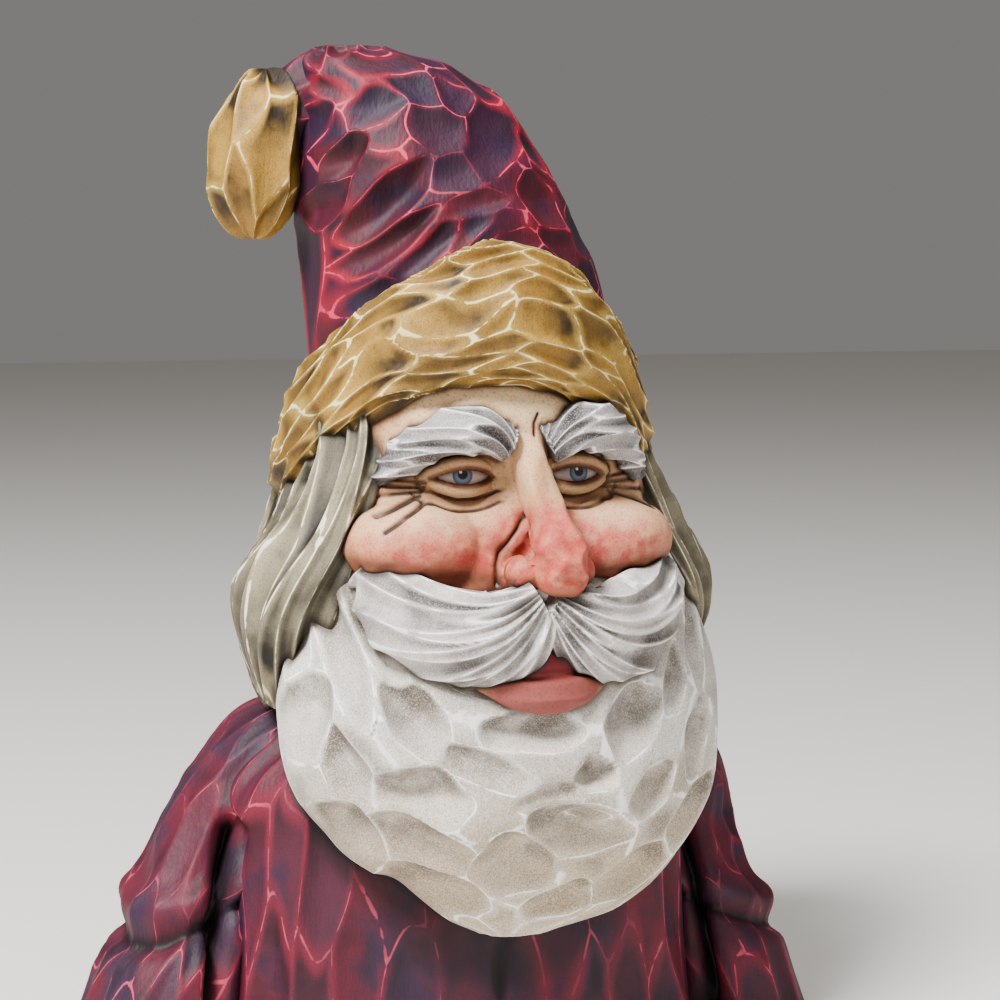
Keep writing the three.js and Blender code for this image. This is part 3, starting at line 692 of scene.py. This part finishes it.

# %% [markdown]
# The knife leaves small flat cuts on the nose, cheeks, brow and lip, and lines for the wrinkles. An eye is
# a slit with a rolled lid above and below it, then a fold, and a bag under it. Most of these marks are lines
# of stain more than they are depth. Painted shade goes under the nose and the cheeks and beside the nostrils,
# and painted light on the forehead. The places for the blush, the cream and the lip's red are marked as well.

# %% Knife cuts, lids and wrinkles
# The columns are those of the beard's strokes.
KNIFE_CUTS = [
    (1.4, 82, 5.4, 1.9, 88, 0.6), (2, 76, 3, 2.1, 10, 0.7), (2.4, 71.8, 2.8, 1.6, 0, 0.8),
    (-0.6, 73.8, 2.8, 1.5, 62, 0.7), (5.3, 73.6, 2.8, 1.6, -62, 0.7), (-0.6, 78.8, 3.6, 1.2, 78, 0.25),
    (4.6, 78.6, 3.6, 1.4, -76, 0.4), (-2.9, 72.4, 1.8, 1.4, 60, 0.35), (6.4, 72.2, 1.8, 1.4, -60, 0.3),
    (-12, 70.8, 4.4, 1.8, -10, 0.3), (-18, 73.4, 4.4, 2.2, 40, 0.3), (13.6, 70.8, 4.4, 1.8, 10, 0.3),
    (19, 73.4, 4.4, 2.2, -40, 0.3), (-13, 77, 5, 2.4, 10, 0.25), (14, 77, 5, 2.4, -10, 0.25),
    (0, 97, 6, 3, 0, 0.3), (-9, 96, 5, 2, 20, 0.3), (10, 96, 5, 2, -20, 0.3), (0, 56.6, 7, 1.7, 0, 0.5),
    (0, 53.8, 6, 1.3, 0, 0.3),
]
# The wrinkles beside an eye, outward from its middle and up; the figure's left eye lacks the lowest one.
CROWS_FEET = [
    [(5.2, -0.7), (9, -0.2), (12, 1.4)],
    [(5.4, -1.3), (9, -1.2), (12.8, -1)],
    [(5.6, -1.8), (9, -2.2), (12.8, -2.8)],
    [(6, -2.4), (9.4, -3.6), (12.8, -5)],
    [(5.8, -3.2), (9.2, -4.9), (12.4, -7)],
]
NOSE_CREASE = [(1.8, 80), (2.8, 77.8), (4.4, 75.8), (5.8, 74.4), (6.3, 72.6), (6.2, 70)]
FROWN = [(2.2, 93.4), (1.5, 92), (1.5, 90.4)]
EYE_HALF = 4.5  # from an eye's middle to the end of its slit
OVER_FOLD, UNDER_FOLD, BAG = 2.1, 1.9, 3.4  # how far from the slit the folds lie


def near_ellipse(x, z, cx, cz, wide, high, power=2):
    """1 in the middle of an ellipse on the front, and fading to 0 outside it."""
    return np.exp(-(np.abs((x - cx) / wide) ** power) - np.abs((z - cz) / high) ** power)


def eyelids(marks, out, high, inner):
    """Opens one eye: the slit, a lid above and below it, and the folds round them."""
    bow = np.clip(1 - (out / EYE_HALF) ** 2, 0, 1)
    past = np.maximum(np.abs(out) - EYE_HALF, 0)
    above, under = high - 1.3 * bow, -high - 1.15 * bow
    over, below = np.hypot(np.maximum(above, 0), past), np.hypot(np.maximum(under, 0), past)
    away = np.where(high > 0, over, below)  # how far from the slit
    slit = np.clip(np.minimum(-above, -under) / 0.4, 0, 1)
    lids = np.exp(-(((away - 0.8) / 0.75) ** 2)) * (1 - slit) * inner
    to_fold = np.where(high > 0, np.abs(over - OVER_FOLD), np.abs(below - UNDER_FOLD)) / 0.27
    to_fold = to_fold + 9 * (out > 6.6)
    to_bag = np.abs(below - BAG) / 0.3 + 9 * (out > 7.4) + 9 * (high > 0)
    fold, bag = np.exp(-(to_fold**2)) * inner, np.exp(-(to_bag**2)) * inner
    for to_line in (to_fold, to_bag + 0.1, away / 0.26):
        lay_stain_and_shade(marks, (1.5 - to_line) * inner)
    lay_stain_and_shade(marks, 0.58 * near_ellipse(out, high, 8.8, -1.6, 4, 2.6))  # a wash of stain over the crow's feet
    lay_stain_and_shade(marks, 0.5 * np.exp(-(((below - 2.6) / 0.8) ** 4)) * (high < 0) * (out < 7) * inner)
    marks["lids"] = np.maximum(marks["lids"], np.exp(-((away / 2) ** 4)) * np.where(high < 0, 1, 0.35))
    marks["socket"] = np.maximum(marks["socket"], np.exp(-((away / 4.2) ** 4)))
    return 1.2 * slit - 0.7 * lids + 0.5 * fold + 0.3 * bag


def finish_face():
    """Cuts and marks the skin, and returns how far to the front it reaches at each eye."""
    places = (coordinates(face) - HEAD) / UNIT
    x, y, z = places.T
    marks = unmarked(len(x))
    for key in ("blush", "cream", "lip", "mouth", "lids", "socket"):
        marks[key] = np.zeros(len(x))
    gouge(marks, x, z, chosen(KNIFE_CUTS), shown=np.clip(-(y + 20) / 4, 0, 1))
    push = marks["cut"].copy()
    for side in (RIGHT, LEFT):
        out, high = side * (x - EYES[side]), z - EYE_LEVEL
        beside_nose = np.clip((out + 6) / 1.5, 0, 1) * np.clip((y + 29) / 1.2, 0, 1)
        push += eyelids(marks, out, high, beside_nose)
        for points in CROWS_FEET if side == RIGHT else CROWS_FEET[:4]:
            push += groove(marks, out, high, points, 0.3, 0.45)
        crease = [(side * across, level) for across, level in NOSE_CREASE]
        behind_tip = y > -32
        cut = groove(marks, x - NOSTRILS_ASIDE, z, crease, 0.36, 0.6, 0.8 * behind_tip)
        push += np.where(behind_tip, cut, 0)
        # Painted shade in the corner between each nostril wing and the cheek.
        lay_stain_and_shade(marks, 0.8 * near_ellipse(x, z, NOSTRILS_ASIDE + side * 5.4, 75, 1.7, 1.3))
        marks["blush"] += near_ellipse(x, z, side * 13.8, 72.6, 12.6, 7, 3)
        marks["cream"] += near_ellipse(x, z, side * 14, 78.8, 8.6, 2.8)
    push += groove(marks, x, z, FROWN, 0.24, 0.4)
    tip, bridge = 0.9 * NOSE_ASIDE, 0.7 * NOSE_ASIDE
    marks["blush"] += near_ellipse(x, z, tip, 73.6, 7, 7, 3) + 0.7 * near_ellipse(x, z, bridge, 80.4, 2.6, 5)
    # Painted light on the forehead, under the band.
    marks["cream"] += near_ellipse(x, z, 0, 97, 20, 5.4)
    # Painted shadow under the nose and its tip.
    lay_stain_and_shade(marks, near_ellipse(x, z, 0.8, 67.4, 2.4, 2.6, 4))
    lay_stain_and_shade(marks, 0.6 * near_ellipse(x, z, tip, 69.2, 6, 1.5))
    # Painted shadow along the lower edge of each cheek, above the moustache.
    aside = np.abs(x - EYES_ASIDE)
    under_cheek = (z - 69.8 - 0.14 * aside) / 1.5
    lay_stain_and_shade(marks, 0.8 * np.exp(-(under_cheek**2)) * (aside > 4.5))
    marks["blush"] = np.clip(marks["blush"], 0, 1)
    marks["lip"] = np.clip(1.8 * near_ellipse(x, z, 0, 55.6, 10, 3.6, 4) - 0.4, 0, 1) * (y < -30)
    marks["mouth"] = np.clip(2 * near_ellipse(x, z, 0, 61.4, 8, 3.5, 4) - 0.4, 0, 1)
    normals = np.empty(len(x) * 3)
    face.data.vertices.foreach_get("normal", normals)
    push = np.where(y < -8, push, 0)
    marks["cut"], marks["second"] = push, push - 1
    middles = {side: np.hypot(x - EYES[side], z - EYE_LEVEL) < 1 for side in (RIGHT, LEFT)}
    keep(face, places - normals.reshape(-1, 3) * push[:, None], marks)
    weld(face)
    return {side: y[middle].min() for side, middle in middles.items()}


eye_fronts = finish_face()
print("the face reaches", {side: round(front, 2) for side, front in eye_fronts.items()}, "at the eyes")

# %% [markdown]
# An eyeball is an egg just behind its slit. Its iris and pupil are only colour, so each place on it keeps
# how far it lies from the middle of the gaze.

# %% Eyes
EYE_SIZE = (5.3, 5.2, 4.4)
EYE_BEHIND = 0.3  # from the skin before it was cut


def eyeball(side):
    centre = (EYES[side], eye_fronts[side] + EYE_SIZE[1] + EYE_BEHIND, EYE_LEVEL)

    def looking(marks, base, u, t):
        x, y, z = base.T
        marks["aside"], marks["rise"] = x - EYES[side] - 0.5 * side, z - EYE_LEVEL
        return np.where(y < centre[1], 0, 2)

    return rolled("eyeball", egg(centre, EYE_SIZE), 60, 50, looking)


eyes = joined("eyes", [eyeball(RIGHT), eyeball(LEFT)])

# %% [markdown]
# A dark stain rubbed over the paint stays where two masses meet, and painted shade is laid there as well. So
# for every place on a piece, the distance to the nearest other piece is measured, and the closer it is, the
# darker it gets.

# %% Stain and painted shade in the corners
STAIN_AND_SHADE_REACH = 1.8e-3  # metres from the nearest other piece


def corner_stain_and_shade():
    trees = {}
    for piece in made:
        corners = [v.co.copy() for v in piece.data.vertices]
        trees[piece] = BVHTree.FromPolygons(corners, [tuple(f.vertices) for f in piece.data.polygons])
    for piece in made:
        stain = np.zeros(len(piece.data.vertices))
        for other, tree in trees.items():
            if other is piece:
                continue
            low, high = np.min(coordinates(other), 0), np.max(coordinates(other), 0)
            places = coordinates(piece)
            close = (places > low - STAIN_AND_SHADE_REACH) & (places < high + STAIN_AND_SHADE_REACH)
            for i in np.flatnonzero(np.all(close, axis=1)):
                distance = tree.find_nearest(Vector(places[i]), STAIN_AND_SHADE_REACH)[3]
                if distance is not None:
                    stain[i] = max(stain[i], 1 - distance / STAIN_AND_SHADE_REACH)
        attribute = piece.data.attributes.new("corner", "FLOAT", "POINT")
        attribute.data.foreach_set("value", stain.astype(np.float32))


corner_stain_and_shade()

# %% [markdown]
# All the finishes are the same three layers: a body colour that changes from facet to facet, a light colour
# brushed dry over the ridges, and the dark stain, which carries painted shade as well. They read the
# attributes that the carving left on the mesh.

# %% Paint
def colour(code):
    """A colour written as in a paint chart, turned to the linear values that a shader takes."""
    parts_of = [int(code[i:i + 2], 16) / 255 for i in (0, 2, 4)]
    return [c / 12.92 if c < 0.04045 else ((c + 0.055) / 1.055) ** 2.4 for c in parts_of] + [1]


class Paint:
    """One material, built up layer by layer."""

    def __init__(self, name, rough):
        self.material = bpy.data.materials.new(name)
        self.material.use_nodes = True
        self.tree = self.material.node_tree
        self.shader = self.tree.nodes["Principled BSDF"]
        self.shader.inputs["Roughness"].default_value = rough
        self.shader.inputs["Specular IOR Level"].default_value = 0.3
        self.place = self.tree.nodes.new("ShaderNodeTexCoord").outputs["Object"]

    def attribute(self, key):
        node = self.tree.nodes.new("ShaderNodeAttribute")
        node.attribute_name = key
        return node.outputs["Fac"]

    def noise(self, scale, detail=4, stretch=(1, 1, 1)):
        mapping = self.tree.nodes.new("ShaderNodeMapping")
        mapping.inputs["Scale"].default_value = stretch
        node = self.tree.nodes.new("ShaderNodeTexNoise")
        node.inputs["Scale"].default_value = scale
        node.inputs["Detail"].default_value = detail
        self.tree.links.new(self.place, mapping.inputs["Vector"])
        self.tree.links.new(mapping.outputs["Vector"], node.inputs["Vector"])
        return node.outputs["Fac"]

    def math(self, operation, a, b, clamped=True):
        node = self.tree.nodes.new("ShaderNodeMath")
        node.operation = operation
        node.use_clamp = clamped
        for socket_in, value in zip(node.inputs, (a, b)):
            if isinstance(value, (int, float)):
                socket_in.default_value = value
            else:
                self.tree.links.new(value, socket_in)
        return node.outputs[0]

    def between(self, value, low, high):
        """0 below low, 1 above high, smooth between."""
        node = self.tree.nodes.new("ShaderNodeMapRange")
        node.interpolation_type = "SMOOTHSTEP"
        node.inputs["From Min"].default_value = low
        node.inputs["From Max"].default_value = high
        self.tree.links.new(value, node.inputs["Value"])
        return node.outputs["Result"]

    def times(self, a, b):
        return self.math("MULTIPLY", a, b)

    def patches(self, scale, detail, low, high):
        """Soft patches of a noise: 0 below low, 1 above high."""
        return self.between(self.noise(scale, detail), low, high)

    def marked(self, key, low, high):
        """An attribute of the mesh: 0 below low, 1 above high."""
        return self.between(self.attribute(key), low, high)

    def mix(self, below, above, amount):
        node = self.tree.nodes.new("ShaderNodeMix")
        node.data_type = "RGBA"
        for key, value in (("A", below), ("B", above)):
            socket_in = next(s for s in node.inputs if s.name == key and s.type == "RGBA")
            if isinstance(value, str):
                socket_in.default_value = colour(value)
            else:
                self.tree.links.new(value, socket_in)
        factor = next(s for s in node.inputs if s.name == "Factor" and s.type == "VALUE")
        if isinstance(amount, (int, float)):
            factor.default_value = amount
        else:
            self.tree.links.new(amount, factor)
        return next(s for s in node.outputs if s.type == "RGBA")

    def finish(self, layer, grain, strength):
        self.tree.links.new(layer, self.shader.inputs["Base Color"])
        bump = self.tree.nodes.new("ShaderNodeBump")
        bump.inputs["Strength"].default_value = strength
        bump.inputs["Distance"].default_value = 0.0004
        self.tree.links.new(grain, bump.inputs["Height"])
        self.tree.links.new(bump.outputs["Normal"], self.shader.inputs["Normal"])
        return self.material


def carved_paint(name, facets, halo, ridge, dark, width=0.09, glow=0.5, stain=0.7, grain=0.35,
                 light_grain=None, low_tint=None, wear=0.3):
    """The three layers: facets of three colours, a light colour on the ridges, and the dark stain with
    painted shade.
    """
    paint = Paint(name, 0.6)
    edges = [paint.math("ABSOLUTE", paint.attribute(f"edge_{bit}"), 0) for bit in range(3)]
    below = paint.math("MINIMUM", paint.math("MINIMUM", edges[0], edges[1]), edges[2])
    layer = paint.mix(facets[0], facets[1], paint.marked("tone", 0.3, 0.7))
    layer = paint.mix(layer, facets[2], paint.patches(90, 4, 0.45, 0.65))
    if low_tint:  # the lower part takes a warmer tint
        height = paint.tree.nodes.new("ShaderNodeSeparateXYZ")
        paint.tree.links.new(paint.place, height.inputs[0])
        low_part = paint.between(height.outputs["Z"], 52 * UNIT, 28 * UNIT)
        layer = paint.mix(layer, low_tint, paint.times(low_part, 0.55))
    # Stain in the hollows, with more under their upper rims as painted shade.
    hollows = paint.times(paint.marked("shade", 0.1, 0.8), stain)
    layer = paint.mix(layer, dark, paint.times(hollows, paint.patches(150, 6, 0.3, 0.65)))
    wide = paint.times(paint.between(below, 0.5, 0.0), paint.patches(55, 3, 0.38, 0.62))
    layer = paint.mix(layer, halo, paint.times(wide, glow))
    specks = paint.noise(4200, 3)
    layer = paint.mix(layer, dark, paint.times(paint.between(specks, 0.48, 0.66), grain))
    if light_grain:
        layer = paint.mix(layer, ridge, paint.times(paint.between(specks, 0.5, 0.34), light_grain))
    shaky = paint.math("ADD", below, paint.times(paint.patches(300, 6, 0.42, 0.72), 2 * width))
    left = paint.math("SUBTRACT", 1, paint.times(paint.patches(70, 4, 0.42, 0.6), wear))
    layer = paint.mix(layer, ridge, paint.times(paint.between(shaky, 1.3 * width, 0.5 * width), left))
    # The line marks: stain in the cut lines and creases, and painted shade, such as the beard's shadow on the
    # coat and the tassel's under the cap.
    layer = paint.mix(layer, dark, paint.marked("line", 0.3, 0.9))
    # Stain and painted shade where the piece meets another.
    layer = paint.mix(layer, dark, paint.times(paint.marked("corner", 0.1, 1.0), 0.85))
    return paint.finish(layer, paint.noise(1500, 3, (1, 1, 0.25)), 0.35)


cap_cloth = carved_paint(
    "cap_cloth", ("300d25", "470b1b", "230e29"), "940f27", "cc3a56", "10040c", 0.06, 0.75, 0.6, 0.2,
    wear=0.88)
coat_cloth = carved_paint(
    "coat_cloth", ("45192b", "561628", "2f1b30"), "82182e", "b04054", "12060c", 0.05, 0.5, 0.7, 0.3,
    wear=0.8)
white_beard = carved_paint(
    "white_beard", ("beb7ae", "d4cdc4", "aca49a"), "e9e4db", "fffefa", "594b39", 0.07, 0.55, 0.85, 0.42,
    light_grain=0.3, low_tint="c4a878")
white_moustache = carved_paint(
    "white_moustache", ("a9a19b", "cfc8c2", "88807a"), "efebe6", "ffffff", "26201c", 0.12, 0.7, 1.0, 0.35,
    light_grain=0.15)
grey_hair = carved_paint(
    "grey_hair", ("6c6552", "8c836a", "544d3e"), "b5aa86", "f0e8cc", "1a150e", 0.09, 0.5, 1.0, 0.4)
fur = carved_paint(
    "fur", ("8f6824", "a88034", "70521a"), "cba955", "f3e3a8", "1e1204", 0.08, 0.5, 1.0, 0.4)
brow_paint = carved_paint(
    "brow_paint", ("6e6866", "aaa4a2", "565050"), "e4e0de", "ffffff", "161014", 0.14, 0.75, 1.0, 0.35,
    light_grain=0.2)


def face_paint():
    paint = Paint("face_paint", 0.6)
    worn = paint.math("ADD", paint.times(paint.patches(420, 5, 0.3, 0.65), 0.35), 0.6)
    layer = paint.mix("d9a472", "ebbf92", paint.patches(60, 4, 0.4, 0.6))
    # Cream on the upper cheeks, and painted light on the forehead.
    layer = paint.mix(layer, "ecd0a2", paint.times(paint.attribute("cream"), 0.85))
    layer = paint.mix(layer, "ba3c3a", paint.times(paint.attribute("blush"), worn))
    layer = paint.mix(layer, "b8946a", paint.times(paint.attribute("socket"), 0.65))
    layer = paint.mix(layer, "ab9064", paint.times(paint.attribute("lids"), 0.8))
    layer = paint.mix(layer, "843638", paint.times(paint.attribute("lip"), 0.95))
    layer = paint.mix(layer, "5c3018", paint.times(paint.patches(2600, 3, 0.5, 0.68), 0.4))
    layer = paint.mix(layer, "7c4a2c", paint.times(paint.patches(160, 6, 0.5, 0.75), 0.35))
    # The line marks: stain in the wrinkles and folds, and painted shade under the nose, the cheeks and beside
    # the nostrils.
    layer = paint.mix(layer, "7a4c30", paint.times(paint.marked("line", 0.0, 0.7), 0.6))
    uneven = paint.math("ADD", paint.times(paint.patches(260, 5, 0.35, 0.6), 0.45), 0.5)
    layer = paint.mix(layer, "22130b", paint.times(paint.marked("line", 0.4, 1.1), uneven))
    # Brown paint and painted shade where the skin meets the hair, the band and the moustache.
    layer = paint.mix(layer, "7e4426", paint.times(paint.marked("corner", 0.1, 0.7), 0.35))
    layer = paint.mix(layer, "660a12", paint.attribute("mouth"))
    # Painted shade, with stain, right where the skin touches another piece.
    layer = paint.mix(layer, "1c0c06", paint.times(paint.marked("corner", 0.5, 1.0), 0.9))
    return paint.finish(layer, paint.noise(500, 5, (1, 1, 0.3)), 0.3)


def eye_paint():
    paint = Paint("eye_paint", 0.5)

    def from_point(aside, rise):
        across = paint.math("SUBTRACT", paint.attribute("aside"), aside, False)
        up = paint.math("SUBTRACT", paint.attribute("rise"), rise, False)
        squares = [paint.math("MULTIPLY", part, part, False) for part in (across, up)]
        return paint.math("SQRT", paint.math("ADD", *squares, False), 0, False)

    iris, pupil, glint = from_point(0, 0.35), from_point(0, 0.5), from_point(-0.3, 0.85)
    layer = paint.mix("525e74", "a38f86", paint.between(iris, 1.34, 1.48))
    rim = paint.times(paint.between(iris, 0.9, 1.3), paint.between(iris, 1.5, 1.38))
    layer = paint.mix(layer, "343e50", rim)
    layer = paint.mix("060506", layer, paint.between(pupil, 0.66, 0.78))
    layer = paint.mix("ffffff", layer, paint.between(glint, 0.16, 0.24))
    # Painted shade on the eyeball where the lids and skin meet it.
    layer = paint.mix(layer, "3e2a20", paint.times(paint.marked("corner", 0.6, 1.0), 0.6))
    return paint.finish(layer, paint.noise(900), 0.02)


finishes = {
    coat: coat_cloth, cap: cap_cloth, beard: white_beard, moustache: white_moustache, hair: grey_hair,
    band: fur, tassel: fur, brows: brow_paint, face: face_paint(), eyes: eye_paint(),
}
for piece, finish in finishes.items():
    piece.data.materials.clear()
    piece.data.materials.append(finish)
    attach(piece, "root")
    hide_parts("santa_figure")
triangles = {piece.name: sum(len(f.vertices) - 2 for f in piece.data.polygons) for piece in finishes}
print(triangles, sum(triangles.values()))

# %% [markdown]
# The figure stands on a pale floor in soft light from above, and the camera looks at it as the photograph
# does: from a little to the figure's right and a little above the level of the beard.

# %% Floor, light and camera
bpy.ops.object.select_all(action="DESELECT")
bpy.ops.mesh.primitive_plane_add(size=6, location=(0, 0, cad_low.z))
floor = bpy.context.object
floor.name = "floor"
pale = bpy.data.materials.new("pale_floor")
pale.use_nodes = True
pale.node_tree.nodes["Principled BSDF"].inputs["Base Color"].default_value = colour("e6e2dc")
pale.node_tree.nodes["Principled BSDF"].inputs["Roughness"].default_value = 0.8
floor.data.materials.append(pale)

world = bpy.data.worlds.new("studio")
world.use_nodes = True
world.node_tree.nodes["Background"].inputs["Color"].default_value = colour("e6e4e0")
world.node_tree.nodes["Background"].inputs["Strength"].default_value = 0.26
bpy.context.scene.world = world
TARGET = Vector((0.003 + HEAD[0], -0.012 + HEAD[1], 0.096))
# The view's turn about the figure and its height in degrees, its distance in metres, and its field.
VIEW_TURN, VIEW_HEIGHT, VIEW_DISTANCE, VIEW_FIELD = -20, 5, 0.5, 19.6


def back_from(azimuth, elevation, distance):
    a, e = radians(azimuth), radians(elevation)
    return TARGET + distance * Vector((sin(a) * cos(e), -cos(a) * cos(e), sin(e)))


def soft_light(name, azimuth, elevation, distance, size, power):
    bpy.ops.object.light_add(type="AREA", location=back_from(azimuth, elevation, distance))
    lamp = bpy.context.object
    lamp.name = name
    lamp.data.size = size
    lamp.data.energy = power
    lamp.rotation_euler = (TARGET - lamp.location).to_track_quat("-Z", "Y").to_euler()


soft_light("key_light", -58, 50, 0.9, 0.25, 24)
soft_light("fill_light", 35, 12, 1.2, 0.9, 2)
soft_light("top_light", 0, 80, 1.0, 0.4, 5)

bpy.ops.object.camera_add(location=back_from(VIEW_TURN, VIEW_HEIGHT, VIEW_DISTANCE))
camera = bpy.context.object
camera.rotation_euler = (TARGET - camera.location).to_track_quat("-Z", "Y").to_euler()
camera.data.angle = radians(VIEW_FIELD)
camera.data.clip_start = 0.01
bpy.context.scene.camera = camera
